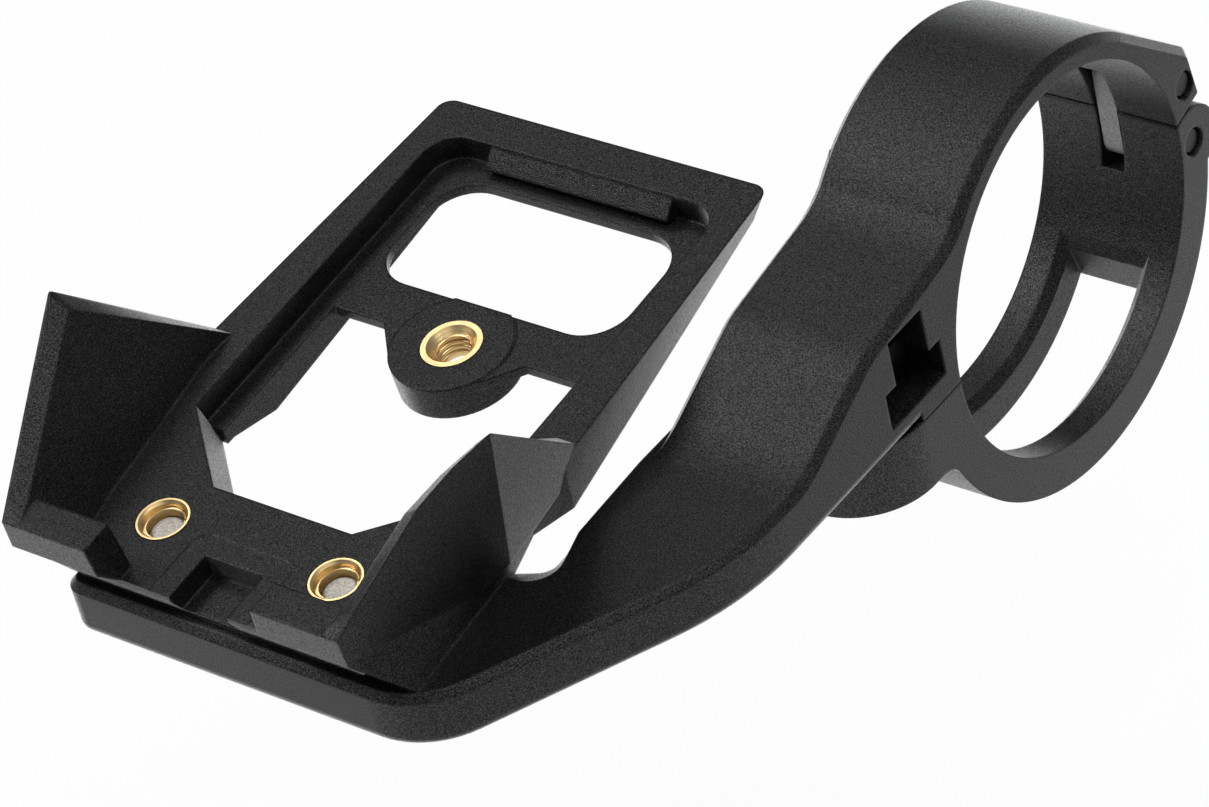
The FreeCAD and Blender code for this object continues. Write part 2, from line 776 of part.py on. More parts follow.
rear_hole = cylinder("rear_insert_hole", "rear_insert_radius + insert_seat_room", "2 * boss_depth")
seat_on_cradle(rear_hole, "0", "rear_insert_reach", "-1.5 * boss_depth")
insert_holes.append(rear_hole)
moulding = fuse("moulding", [upper_ring, neck, slab, cradle])
mount_body = cut("mount_body", moulding, [
    bore, nut_pocket, tip_pocket, arm_screw_hole, body_link_slot, body_pin_hole] + insert_holes)

# Clamp strap: the lower half of the ring, its ear and the foot for the screw

strap_blank = cylinder("strap_blank", STRAP_OUTER, "clamp_width", ALONG_X, x="-clamp_width / 2")
above_strap = outline("above_strap", [
    ("-2 * screw_reach", "-parting_gap"),
    ("0", "-parting_gap"),
    ("0", "-strap_pin_drop"),
    ("2 * bore_radius", "-strap_pin_drop"),
    ("2 * bore_radius", "2 * bore_radius"),
    ("-2 * screw_reach", "2 * bore_radius"),
], FACING_RIGHT)
upper_half = extrude("upper_half", above_strap, "2 * clamp_width", both_ways=True)
strap_ring = cut("strap_ring", strap_blank, [upper_half])
strap_ear = cylinder("strap_ear", "strap_ear_radius", "clamp_width", ALONG_X,
                     x="-clamp_width / 2", y="hinge_reach", z="-strap_pin_drop")
foot_round = cylinder("foot_round", "clamp_width / 2", "foot_depth - parting_gap",
                      y="-screw_reach", z="-foot_depth")
foot_block = box("foot_block", "clamp_width", "screw_reach - bore_radius + strap_wall / 2",
                 "foot_depth - parting_gap",
                 x="-clamp_width / 2", y="-screw_reach", z="-foot_depth")
strap_whole = fuse("strap_whole", [strap_ring, strap_ear, foot_round, foot_block])
strap_bored = cut("strap_bored", strap_whole, [bore])
strap_rounded = edged("Fillet", "strap_rounded", strap_bored, "foot_blend", lambda edge: (
    all(near(point.z, value("-foot_depth")) for point in ends(edge))
    and near(ends(edge)[0].y, ends(edge)[-1].y)
    and edge.CenterOfMass.y > value("parting_gap - screw_reach")
))
WINDOW_REACH = "2 * bore_radius"


def on_ring(radius, angle):
    return (f"({radius}) * cos({angle} * 1deg)", f"({radius}) * sin({angle} * 1deg)")


def beyond(start, end):
    """The point as far past the end as the end is from the start."""
    return tuple(f"2 * {last} - {first}" for first, last in zip(start, end))


WINDOW_INSIDE = on_ring("bore_radius", "window_inner_angle")
WINDOW_OUTSIDE = on_ring(STRAP_OUTER, "window_first_angle")
window_sector = outline("window_sector", [
    ("0", "0"),
    beyond(WINDOW_OUTSIDE, WINDOW_INSIDE),
    beyond(WINDOW_INSIDE, WINDOW_OUTSIDE),
    on_ring(WINDOW_REACH, "(window_first_angle + window_last_angle) / 2"),
    on_ring(WINDOW_REACH, "window_last_angle"),
], FACING_RIGHT)
strap_window = extrude("strap_window", window_sector, "2 * window_half_width", both_ways=True)
foot_hole = cylinder("foot_hole", "screw_hole_radius", "2 * foot_depth",
                     y="-screw_reach", z="-1.5 * foot_depth")
head_pocket = cylinder("head_pocket", "head_radius + head_room", "2 * head_recess",
                       y="-screw_reach", z="-foot_depth - head_recess")
strap_link_slot = box(
    "strap_link_slot", LINK_SLOT, "4 * link_end_radius",
    "link_tail + link_end_room + strap_ear_radius + strap_pin_drop",
    x=f"-({LINK_SLOT}) / 2", y="hinge_reach - 2 * link_end_radius",
    z="-strap_pin_drop - link_tail - link_end_room")
strap_pin_hole = cylinder("strap_pin_hole", "pin_radius + pin_seat_room", "2 * clamp_width", ALONG_X,
                          x="-clamp_width", y="hinge_reach", z="-strap_pin_drop")
strap_opened = cut("strap_opened", strap_rounded, [strap_window])
strap_bevelled = edged("Chamfer", "strap_bevelled", strap_opened, "window_bevel", lambda edge: all(
    near((point.y ** 2 + point.z ** 2) ** 0.5, value("bore_radius"))
    and near(abs(point.x), value("window_half_width"))
    for point in ends(edge)
))
clamp_strap = cut("clamp_strap", strap_bevelled, [foot_hole, head_pocket, strap_link_slot, strap_pin_hole])

# Hinge link and its two pins

hinge_link = new_body("hinge_link")
link_side = outline("link_side", [
    ("-link_end_radius", "-strap_pin_drop - link_tail", "link_corner_radius"),
    ("link_end_radius", "-strap_pin_drop - link_tail", "link_corner_radius"),
    ("link_end_radius", "body_pin_height + link_end_radius", "link_corner_radius"),
    ("-link_end_radius", "body_pin_height + link_end_radius", "link_corner_radius"),
], body=hinge_link)
on_plane(hinge_link, link_side, "YZ_Plane")
link_pad = hinge_link.newObject("PartDesign::Pad", "link_pad")
link_pad.Profile = link_side
link_pad.Midplane = True
link_pad.setExpression("Length", bound("link_width"))
for pin_name, pin_height in (("body", "body_pin_height"), ("strap", "-strap_pin_drop")):
    eye = on_plane(hinge_link, hinge_link.newObject("Sketcher::SketchObject", pin_name + "_eye"), "YZ_Plane")
    ring_edge = eye.addGeometry(Part.Circle(
        Vector(0, value(pin_height), 0), Vector(0, 0, 1), value("pin_radius")), False)
    fix_point(eye, ring_edge, 3, ("0", pin_height))
    size_rule = eye.addConstraint(Sketcher.Constraint("Radius", ring_edge, value("pin_radius")))
    eye.setExpression(f"Constraints[{size_rule}]", bound("pin_radius + pin_running_room"))
    eye_cut = hinge_link.newObject("PartDesign::Pocket", pin_name + "_eye_cut")
    eye_cut.Profile = eye
    eye_cut.Type = "ThroughAll"
    eye_cut.Midplane = True
place(hinge_link, y="hinge_reach")

PIN_HALF = "clamp_width / 2 - pin_inset"
hinge_pins = []
for pin_name, pin_height in (("body", "body_pin_height"), ("strap", "-strap_pin_drop")):
    pin = turned(f"hinge_pin_{pin_name}", [
        ("0", f"-({PIN_HALF})"),
        ("pin_radius - pin_edge", f"-({PIN_HALF})"),
        ("pin_radius", f"pin_edge - ({PIN_HALF})"),
        ("pin_radius", f"{PIN_HALF} - pin_edge"),
        ("pin_radius - pin_edge", PIN_HALF),
        ("0", PIN_HALF),
    ])
    pin.Placement = ALONG_X
    place(pin, y="hinge_reach", z=pin_height)
    hinge_pins.append(pin)

# Clamp screw with a hexagon socket, and its square nut

SEAT = "-foot_depth + head_recess"
clamp_screw = turned("clamp_screw", [
    ("0", "-head_height"),
    ("head_radius - head_edge", "-head_height"),
    ("head_radius", "head_edge - head_height"),
    ("head_radius", "0"),
    ("screw_radius", "0"),
    ("screw_radius", f"screw_tip_height - head_edge - ({SEAT})"),
    ("screw_radius - head_edge", f"screw_tip_height - ({SEAT})"),
    ("0", f"screw_tip_height - ({SEAT})"),
])
SOCKET_CORNER = "socket_flats / cos(30deg) / 2"
socket_plan = outline("socket_plan", [
    (f"{SOCKET_CORNER} * cos({turn * 60}deg)", f"{SOCKET_CORNER} * sin({turn * 60}deg)")
    for turn in range(6)
], body=clamp_screw)
on_plane(clamp_screw, socket_plan)
socket_plan.setExpression("AttachmentOffset.Base.z", bound("socket_depth - head_height"))
socket = clamp_screw.newObject("PartDesign::Pocket", "socket")
socket.Profile = socket_plan
socket.setExpression("Length", bound("2 * socket_depth"))
place(clamp_screw, y="-screw_reach", z=SEAT)

clamp_nut = new_body("clamp_nut")
nut_plan = outline("nut_plan", [
    ("-nut_width / 2", "-nut_width / 2", "nut_edge"),
    ("nut_width / 2", "-nut_width / 2", "nut_edge"),
    ("nut_width / 2", "nut_width / 2", "nut_edge"),
    ("-nut_width / 2", "nut_width / 2", "nut_edge"),
], body=clamp_nut)
on_plane(clamp_nut, nut_plan)
nut_pad = clamp_nut.newObject("PartDesign::Pad", "nut_pad")
nut_pad.Profile = nut_plan
nut_pad.setExpression("Length", bound("nut_height"))
nut_thread = on_plane(clamp_nut, clamp_nut.newObject("Sketcher::SketchObject", "nut_thread"))
thread_edge = nut_thread.addGeometry(Part.Circle(Vector(), Vector(0, 0, 1), value("nut_bore_radius")), False)
fix_point(nut_thread, thread_edge, 3, ("0", "0"))
thread_rule = nut_thread.addConstraint(Sketcher.Constraint("Radius", thread_edge, value("nut_bore_radius")))
nut_thread.setExpression(f"Constraints[{thread_rule}]", bound("nut_bore_radius"))
nut_hole = clamp_nut.newObject("PartDesign::Pocket", "nut_hole")
nut_hole.Profile = nut_thread
nut_hole.Type = "ThroughAll"
nut_hole.Midplane = True
place(clamp_nut, y="-screw_reach", z="nut_floor + nut_room")

# Brass inserts, and the set screws that close the front two


def insert(label, radius, length, mouth_corners, x, y, z):
    piece = turned(label, [
        ("insert_bore_radius", f"-({length})"),
        (f"{radius} - insert_groove", f"-({length})"),
        (radius, f"insert_groove - ({length})"),
        (radius, f"-({length}) / 2 - 2 * insert_groove"),
        (f"{radius} - insert_groove", f"-({length}) / 2 - insert_groove"),
        (f"{radius} - insert_groove", f"-({length}) / 2 + insert_groove"),
        (radius, f"-({length}) / 2 + 2 * insert_groove"),
        (radius, "0"),
    ] + mouth_corners)
    seat_on_cradle(piece, x, y, z)
    return piece


REAR_MOUTH = [
    ("insert_bore_radius + insert_mouth", "0"),
    ("insert_bore_radius", "-insert_mouth"),
]
FRONT_MOUTH = [
    ("front_insert_radius - insert_wall + insert_rim", "0"),
    ("front_insert_radius - insert_wall", "-insert_rim"),
    ("front_insert_radius - insert_wall", "-insert_step"),
    ("insert_bore_radius", "-insert_step"),
]
inserts = [insert("rear_insert", "rear_insert_radius", "rear_insert_length", REAR_MOUTH,
                  "0", "rear_insert_reach", "boss_rise - recess_depth")]
set_screws = []
for side, sign in (("left", "-"), ("right", "")):
    across = f"{sign}insert_half_gap"
    inserts.append(insert(
        f"front_insert_{side}", "front_insert_radius", "insert_length", FRONT_MOUTH, across, "0", "0"))
    stud = turned(f"front_set_screw_{side}", [
        ("0", "-set_screw_length - set_screw_inset"),
        ("set_screw_radius - set_screw_edge", "-set_screw_length - set_screw_inset"),
        ("set_screw_radius", "set_screw_edge - set_screw_length - set_screw_inset"),
        ("set_screw_radius", "-set_screw_edge - set_screw_inset"),
        ("set_screw_radius - set_screw_edge", "-set_screw_inset"),
        ("0", "-set_screw_inset"),
    ])
    seat_on_cradle(stud, across, "0", "0")
    set_screws.append(stud)

PIECES = [mount_body, clamp_strap, hinge_link, clamp_screw, clamp_nut]
PIECES += hinge_pins + inserts + set_screws

doc.recompute()
faults = [item.Name for item in doc.Objects if {"Invalid", "Error"} & set(item.State)]
if faults:
    raise RuntimeError("these objects failed: " + ", ".join(faults))
for piece in PIECES:
    if piece.Shape.isNull() or not piece.Shape.isValid():
        raise RuntimeError(piece.Label + " has no valid shape")

os.makedirs("parts", exist_ok=True)
for piece in PIECES:
    piece.Shape.exportStep(f"parts/{piece.Label}.step")
    print(piece.Label, len(piece.Shape.Solids), "solid,", round(piece.Shape.Volume, 1), "mm3")
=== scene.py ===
# %% [markdown]
# # A handlebar display mount, dressed
# The frame is a set of exact solids made beforehand: one black moulding, a hinged clamp strap and
# ten small metal pieces. They are loaded first and never moved. This lesson gives each of them the
# finish of the real thing, adds the screw threads that exact solids leave out, and sets up a white
# studio. All lengths are metres, so a millimetre is a handy unit to have a name for.

# %% Load the frame
import math

import bpy
from mathutils import Euler, Matrix, Vector


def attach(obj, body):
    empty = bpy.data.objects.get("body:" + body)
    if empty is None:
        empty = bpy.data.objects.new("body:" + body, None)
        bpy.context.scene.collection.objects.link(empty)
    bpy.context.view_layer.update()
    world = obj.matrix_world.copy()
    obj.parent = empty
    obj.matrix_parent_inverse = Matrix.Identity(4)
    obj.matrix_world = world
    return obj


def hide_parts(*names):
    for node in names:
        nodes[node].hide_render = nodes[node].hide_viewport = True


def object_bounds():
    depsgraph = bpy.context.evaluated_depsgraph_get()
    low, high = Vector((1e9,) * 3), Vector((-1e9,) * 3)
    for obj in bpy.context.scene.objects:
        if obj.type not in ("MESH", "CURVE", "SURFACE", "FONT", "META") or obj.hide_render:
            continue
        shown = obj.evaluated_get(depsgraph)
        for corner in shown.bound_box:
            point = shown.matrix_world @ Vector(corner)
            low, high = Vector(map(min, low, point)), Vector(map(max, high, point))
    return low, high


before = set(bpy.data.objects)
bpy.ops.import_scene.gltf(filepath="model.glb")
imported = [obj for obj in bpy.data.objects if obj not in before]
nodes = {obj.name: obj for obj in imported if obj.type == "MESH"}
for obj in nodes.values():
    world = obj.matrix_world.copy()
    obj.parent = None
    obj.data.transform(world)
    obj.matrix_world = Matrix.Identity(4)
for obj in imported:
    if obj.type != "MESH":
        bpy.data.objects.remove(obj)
cad_low, cad_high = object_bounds()
MM = 0.001
scene = bpy.context.scene
scene.view_settings.view_transform = "Standard"
print("nodes:", ", ".join(sorted(nodes)))

# %% [markdown]
# ## Camera
# The photograph was taken from the front right, well above the arm, with a long lens and the
# camera rolled. Aiming at a point and then rolling about the view axis keeps these facts readable,
# which a finished rotation matrix would hide.

# %% Camera
CAMERA_PLACE = Vector((216.44, -259.15, 254.16)) * MM
CAMERA_AIM = Vector((-17.91, -29.04, 0.0)) * MM
CAMERA_ROLL = math.radians(-14.49)
CAMERA_LENS = 160.3
SENSOR_WIDTH = 36.0
NEAREST = 0.01
FARTHEST = 20.0

camera_data = bpy.data.cameras.new("camera")
camera_data.sensor_width = SENSOR_WIDTH
camera_data.lens = CAMERA_LENS
camera_data.clip_start = NEAREST
camera_data.clip_end = FARTHEST
camera = bpy.data.objects.new("camera", camera_data)
scene.collection.objects.link(camera)
camera.rotation_mode = "QUATERNION"
aim = (CAMERA_AIM - CAMERA_PLACE).to_track_quat("-Z", "Y")
camera.rotation_quaternion = aim @ Euler((0.0, 0.0, CAMERA_ROLL)).to_quaternion()
camera.location = CAMERA_PLACE
scene.camera = camera
print("camera distance:", round((CAMERA_AIM - CAMERA_PLACE).length, 3), "m")

# %% [markdown]
# ## Building shaders with few words
# A material here is a short chain of nodes. These helpers add a node, set its sockets, and join
# sockets in a list, so that each finish below reads as a list of what it does.


# %% Shader helpers
def new_material(name):
    """A material with an empty node tree, and that tree."""
    material = bpy.data.materials.new(name)
    material.use_nodes = True
    material.node_tree.nodes.clear()
    return material, material.node_tree


def add(tree, kind, settings=None, **sockets):
    """A node with its settings and its unlinked sockets filled in."""
    node = tree.nodes.new(kind)
    for key, setting in (settings or {}).items():
        setattr(node, key, setting)
    for key, content in sockets.items():
        node.inputs[key.replace("_", " ")].default_value = content
    return node


def wire(tree, *links):
    """Join sockets. A link is a node and its output, then the next node and its input."""
    for source, outlet, target, inlet in links:
        tree.links.new(source.outputs[outlet], target.inputs[inlet])


def ramp(tree, stops):
    """A colour ramp with stops of (place, grey or colour)."""
    node = tree.nodes.new("ShaderNodeValToRGB")
    band = node.color_ramp
    while len(band.elements) < len(stops):
        band.elements.new(0.5)
    for element, (place, shade) in zip(band.elements, stops):
        element.position = place
        element.color = (shade, shade, shade, 1.0) if isinstance(shade, float) else (*shade, 1.0)
    return node


print("shader helpers ready")

# %% [markdown]
# ## Studio floor
# The real picture has a pure white ground and no shadow to speak of. The floor is a wide white dish
# with a low rim, so that faces which look down mirror white and faces which look up mirror the dim
# room. It lies low enough for the strap to swing open above it. The dish is a stack of rings, which
# a later piece is made of too, so the rings are functions and one helper joins them.

# %% Dish
FLOOR_DROP = 32.0 * MM
DISH_FLAT = 1.7
DISH_RISE = 0.02
DISH_BEND = 0.16
DISH_SIDES = 96
DISH_STEPS = 16


def dish_profile():
    """Radius and height along the dish, from the centre outwards."""
    yield 0.0, 0.0
    for step in range(DISH_STEPS + 1):
        angle = math.radians(90.0) * step / DISH_STEPS
        yield DISH_FLAT + DISH_BEND * math.sin(angle), DISH_BEND * (1.0 - math.cos(angle))
    yield DISH_FLAT + DISH_BEND, DISH_BEND + DISH_RISE


def ring_mesh(name, rings, sides):
    """A surface through rings, each a function from an angle to a point."""
    verts, faces = [], []
    for ring in rings:
        for side in range(sides):
            verts.append(ring(2.0 * math.pi * side / sides))
    for row in range(len(rings) - 1):
        low, high = row * sides, (row + 1) * sides
        for side in range(sides):
            after = (side + 1) % sides
            faces.append((low + side, low + after, high + after, high + side))
    mesh = bpy.data.meshes.new(name)
    mesh.from_pydata(verts, [], faces)
    mesh.validate()
    mesh.update()
    return mesh


def round_ring(radius, height):
    """A level ring about the Z axis."""
    return lambda angle: (radius * math.cos(angle), radius * math.sin(angle), height)


floor_height = cad_low.z - FLOOR_DROP
dish_mesh = ring_mesh(
    "dish", [round_ring(r, floor_height + z) for r, z in dish_profile()], DISH_SIDES)
for polygon in dish_mesh.polygons:
    polygon.use_smooth = True
dish = bpy.data.objects.new("dish", dish_mesh)
scene.collection.objects.link(dish)
print("dish radius:", DISH_FLAT + DISH_BEND, "m, floor at", round(floor_height, 4))

# %% [markdown]
# ## White of the floor
# What the camera, gloss and glass see of the dish is a plain white glow, mixed with a share of
# ordinary matt white that still takes the shadow. The Light Path node tells these rays from the
# rest, so the glow adds no light to the part.

# %% Dish finish
FLOOR_GREY = 0.8
SHADOW_SHARE = 0.07
studio_white, tree = new_material("studio_white")
matt = add(tree, "ShaderNodeBsdfDiffuse", Color=(FLOOR_GREY, FLOOR_GREY, FLOOR_GREY, 1.0))
glow = add(tree, "ShaderNodeEmission", Color=(1.0, 1.0, 1.0, 1.0), Strength=1.0)
path = add(tree, "ShaderNodeLightPath")
camera_or_gloss = add(tree, "ShaderNodeMath", {"operation": "MAXIMUM"})
or_glass = add(tree, "ShaderNodeMath", {"operation": "MAXIMUM"})
glow_share = add(tree, "ShaderNodeMath", {"operation": "MULTIPLY"})
glow_share.inputs[1].default_value = 1.0 - SHADOW_SHARE
blend = add(tree, "ShaderNodeMixShader")
output = add(tree, "ShaderNodeOutputMaterial")
wire(
    tree,
    (path, "Is Camera Ray", camera_or_gloss, 0),
    (path, "Is Glossy Ray", camera_or_gloss, 1),
    (camera_or_gloss, 0, or_glass, 0),
    (path, "Is Transmission Ray", or_glass, 1),
    (or_glass, 0, glow_share, 0),
    (glow_share, 0, blend, 0),
    (matt, 0, blend, 1),
    (glow, 0, blend, 2),
    (blend, 0, output, 0),
)
dish_mesh.materials.append(studio_white)
print("the floor keeps", SHADOW_SHARE, "of matt white for its shadow")

# %% [markdown]
# ## Light
# Black plastic shows light mostly as sheen, so a lamp is placed by what its mirror image falls on.
# The key lamp hangs high at the front left, where the rise of the neck, the crown and the front
# edge mirror it. A small one behind is mirrored by the tilted rails of the cradle more than by the
# level arm, one overhead by the edges of the wings, and one beside the camera lights without sheen.
# Each is aimed at the part's middle.

# %% Lamps and sky
PART_MIDDLE = Vector((-15.0, -30.0, 2.0)) * MM
SKY_COLOUR = (0.92, 0.95, 1.0, 1.0)
SKY_STRENGTH = 0.25


def softbox(name, place, size, power):
    """A square lamp of a size in metres and a power in watts."""
    lamp = bpy.data.lights.new(name, "AREA")
    lamp.shape = "SQUARE"
    lamp.size = size
    lamp.energy = power
    thing = bpy.data.objects.new(name, lamp)
    thing.rotation_mode = "QUATERNION"
    thing.rotation_quaternion = (PART_MIDDLE - Vector(place)).to_track_quat("-Z", "Y")
    thing.location = place
    scene.collection.objects.link(thing)
    return thing


lamps = [
    softbox("key_softbox", (-0.7, -0.36, 0.8), size=0.42, power=6.5),
    softbox("back_softbox", (-0.57, 0.33, 0.86), size=0.3, power=1.5),
    softbox("top_softbox", (0.38, 0.05, 1.0), size=0.5, power=5.0),
    softbox("camera_softbox", (0.45, -0.55, 0.9), size=0.6, power=1.0),
]
sky = bpy.data.worlds.new("sky")
sky.use_nodes = True
background = sky.node_tree.nodes["Background"]
background.inputs["Color"].default_value = SKY_COLOUR
background.inputs["Strength"].default_value = SKY_STRENGTH
scene.world = sky
print("lamps:", ", ".join(lamp.name for lamp in lamps))

# %% [markdown]
# ## Black moulding
# The body and the strap are glass-filled nylon, moulded in a tool with a fine spark-eroded grain.
# Two sizes of noise on the object's own coordinates make the grain: a fine one that breaks up the
# sheen and a broader one that lets the black drift slightly. The fine one also paints the colour:
# painted shade in the hollows of the grain and painted glints, pale flecks, on its peaks. A Bevel
# node turns the normals near sharp corners, because no moulded corner is a perfect edge. Seen along
# its surface, such grain looks frosty, so gloss and sheen rise where a face turns away from the
# view. The fine grain also scales both, so that lit faces sparkle and shaded ones stay plain.

# %% Moulding finish
GRAIN_PER_METRE = 8200.0
GRAIN_HEIGHT = 0.05 * MM
DRIFT_PER_METRE = 90.0
# Colour along the fine grain: the plastic's own black in the middle, painted shade in the hollows,
# painted glints as pale flecks on the peaks.
PAINTED_GLINT_SHADE_STOPS = [(0.42, 0.002), (0.58, 0.008), (0.74, 0.045)]
CLOUD_STOPS = [(0.3, 0.86), (0.7, 1.0)]
SMOOTHEST, ROUGHEST = 0.29, 0.40
GLINT_FROM, GLINT_TO = 0.36, 0.64
GLINT_LEAST, GLINT_MOST = 0.3, 1.9
GRAZE_FROM, GRAZE_TO = 0.5, 0.75
SHEEN_ROUGH = 0.3
NYLON_IOR = 1.5
CORNER_RADIUS = 0.35 * MM
CORNER_SAMPLES = 6


def grained_nylon(name, gloss_level):
    """Black plastic with moulded grain, its colour painted with shade in the hollows and glints on
    the peaks.
    """
    material, tree = new_material(name)
    where = add(tree, "ShaderNodeTexCoord")
    grain = add(tree, "ShaderNodeTexNoise", Scale=GRAIN_PER_METRE, Detail=3.0, Roughness=0.6)
    drift = add(tree, "ShaderNodeTexNoise", Scale=DRIFT_PER_METRE, Detail=4.0, Roughness=0.55)
    # Painted shade in the grain's hollows and painted glints on its peaks, from the same noise as
    # the bump.
    painted_glint_shade = ramp(tree, PAINTED_GLINT_SHADE_STOPS)
    cloud = ramp(tree, CLOUD_STOPS)
    # The painted glints and shade, times the broad random drift of the black, make the base colour.
    glint_shade_and_drift = add(tree, "ShaderNodeMix", {"data_type": "RGBA", "blend_type": "MULTIPLY"})
    glint_shade_and_drift.inputs["Factor"].default_value = 1.0
    gloss = add(tree, "ShaderNodeMapRange", To_Min=SMOOTHEST, To_Max=ROUGHEST)
    glint = add(tree, "ShaderNodeMapRange", From_Min=GLINT_FROM, From_Max=GLINT_TO,
                To_Min=GLINT_LEAST, To_Max=GLINT_MOST)
    soft_corner = add(tree, "ShaderNodeBevel", {"samples": CORNER_SAMPLES}, Radius=CORNER_RADIUS)
    bump = add(tree, "ShaderNodeBump", Strength=1.0, Distance=GRAIN_HEIGHT)
    skin = add(tree, "ShaderNodeBsdfPrincipled", IOR=NYLON_IOR, Sheen_Roughness=SHEEN_ROUGH)
    facing = add(tree, "ShaderNodeLayerWeight", Blend=0.5)
    output = add(tree, "ShaderNodeOutputMaterial")
    wire(
        tree,
        (where, "Object", grain, "Vector"),
        (where, "Object", drift, "Vector"),
        (grain, "Fac", painted_glint_shade, "Fac"),
        (drift, "Fac", cloud, "Fac"),
        (painted_glint_shade, "Color", glint_shade_and_drift, "A"),
        (cloud, "Color", glint_shade_and_drift, "B"),
        (glint_shade_and_drift, "Result", skin, "Base Color"),
        (grain, "Fac", gloss, "Value"),
        (grain, "Fac", glint, "Value"),
        (gloss, "Result", skin, "Roughness"),
        (grain, "Fac", bump, "Height"),
        (soft_corner, "Normal", bump, "Normal"),
        (bump, "Normal", skin, "Normal"),
        (skin, 0, output, 0),
    )
    for socket, least in (("Specular IOR Level", gloss_level), ("Sheen Weight", 0.0)):
        rise = add(tree, "ShaderNodeMapRange", From_Min=GRAZE_FROM, From_Max=GRAZE_TO,
                   To_Min=least, To_Max=1.0)
        speckled = add(tree, "ShaderNodeMath", {"operation": "MULTIPLY"})
        wire(
            tree,
            (facing, "Facing", rise, "Value"),
            (rise, "Result", speckled, 0),
            (glint, "Result", speckled, 1),
            (speckled, 0, skin, socket),
        )
    return material


def dress(node_name, material):
    """Give a solid of the frame its finish."""
    mesh = nodes[node_name].data
    mesh.materials.clear()
    mesh.materials.append(material)
    print(node_name, "wears", material.name)


dress("mount_body", grained_nylon("moulding_nylon", gloss_level=0.26))
dress("clamp_strap", grained_nylon("strap_nylon", gloss_level=0.34))

# %% [markdown]
# ## Brass bushes
# Each threaded bush is turned from brass bar, so its bright faces carry fine rings about its own
# axis. A Wave texture in its ring form makes them, and a Mapping node moves its centre to the bush.
# The bushes stand at different places, so each gets its own copy of the finish.

# %% Brass finish
CRADLE_TILT = math.radians(5.6)
CRADLE_PLACE = Vector((-25.83, -60.7, 8.0)) * MM
cradle_frame = Matrix.Translation(CRADLE_PLACE) @ Matrix.Rotation(CRADLE_TILT, 4, "X")
tilted = (CRADLE_TILT, 0.0, 0.0)
RINGS_PER_METRE = 1500.0
RING_DEPTH = 0.006 * MM
SMEAR_PER_METRE = 900.0
TARNISH = 0.72
ROUGH_SPREAD = 0.14


def on_cradle(across, back, up):
    """A point given in the cradle's tilted frame, in millimetres."""
    return cradle_frame @ (Vector((across, back, up)) * MM)


def turned_metal(name, centre, turn, colour, rough):
    """Metal with fine turning rings about an axis through a centre."""
    material, tree = new_material(name)
    where = add(tree, "ShaderNodeTexCoord")
    seat = add(tree, "ShaderNodeMapping", {"vector_type": "TEXTURE"},
               Location=centre, Rotation=turn)
    rings = add(tree, "ShaderNodeTexWave", {"wave_type": "RINGS", "rings_direction": "Z"},
                Scale=RINGS_PER_METRE, Distortion=0.6, Detail=2.0)
    smear = add(tree, "ShaderNodeTexNoise", Scale=SMEAR_PER_METRE, Detail=3.0)
    tarnish = ramp(tree, [(0.3, tuple(TARNISH * c for c in colour)), (0.7, colour)])
    gloss = add(tree, "ShaderNodeMapRange", To_Min=rough, To_Max=rough + ROUGH_SPREAD)
    bump = add(tree, "ShaderNodeBump", Strength=0.35, Distance=RING_DEPTH)
    skin = add(tree, "ShaderNodeBsdfPrincipled", Metallic=1.0)
    output = add(tree, "ShaderNodeOutputMaterial")
    wire(
        tree,
        (where, "Object", seat, "Vector"),
        (seat, "Vector", rings, "Vector"),
        (where, "Object", smear, "Vector"),
        (smear, "Fac", tarnish, "Fac"),
        (tarnish, "Color", skin, "Base Color"),
        (smear, "Fac", gloss, "Value"),
        (gloss, "Result", skin, "Roughness"),
        (rings, "Fac", bump, "Height"),
        (bump, "Normal", skin, "Normal"),
        (skin, 0, output, 0),
    )
    return material


BRASS = (0.84, 0.61, 0.30)
BRASS_ROUGH = 0.26
INSERT_GAP = 8.5
REAR_INSERT = 25.1
BOSS_TOP = -2.0
bush_places = {
    "rear_insert": on_cradle(0.0, REAR_INSERT, BOSS_TOP),
    "front_insert_left": on_cradle(-INSERT_GAP, 0.0, 0.0),
    "front_insert_right": on_cradle(INSERT_GAP, 0.0, 0.0),
}
brass_of = {}
for bush, centre in bush_places.items():
    brass_of[bush] = turned_metal(f"brass_{bush}", centre, tilted, BRASS, BRASS_ROUGH)
    dress(bush, brass_of[bush])

# %% [markdown]
# ## Blasted grey screw ends
# The front bushes are closed by set screws whose flat ends have been blasted. They are metal, but
# so matt that they read as pale grey speckle. One noise gives both the speckle and its relief.

# %% Set screw finish
SPECKLE_PER_METRE = 4200.0
SPECKLE_DEPTH = 0.03 * MM


def blasted_steel(name, dark, pale):
    """Matt grey metal, speckled between two greys."""
    material, tree = new_material(name)
    where = add(tree, "ShaderNodeTexCoord")
    speckle = add(tree, "ShaderNodeTexNoise", Scale=SPECKLE_PER_METRE, Detail=3.0, Roughness=0.7)
    shade = ramp(tree, [(0.32, dark), (0.72, pale)])
    bump = add(tree, "ShaderNodeBump", Strength=0.6, Distance=SPECKLE_DEPTH)
    skin = add(tree, "ShaderNodeBsdfPrincipled", Metallic=0.75, Roughness=0.62)
    output = add(tree, "ShaderNodeOutputMaterial")
    wire(
        tree,
        (where, "Object", speckle, "Vector"),
        (speckle, "Fac", shade, "Fac"),
        (shade, "Color", skin, "Base Color"),
        (speckle, "Fac", bump, "Height"),
        (bump, "Normal", skin, "Normal"),
        (skin, 0, output, 0),
    )
    return material


set_screw_steel = blasted_steel(
    "set_screw_steel", dark=(0.30, 0.28, 0.25), pale=(0.62, 0.59, 0.54))
for side in ("left", "right"):
    dress(f"front_set_screw_{side}", set_screw_steel)

# %% [markdown]
# ## Black steel
# Hinge pins, clamp screw and nut are blackened steel. The pins and the screw are turned, so the
# brass finish serves again with a dark colour, its rings centred on each piece's own axis. The link
# is stamped from bare sheet and shows paler in the shade of the bore, so it takes the blasted grey.

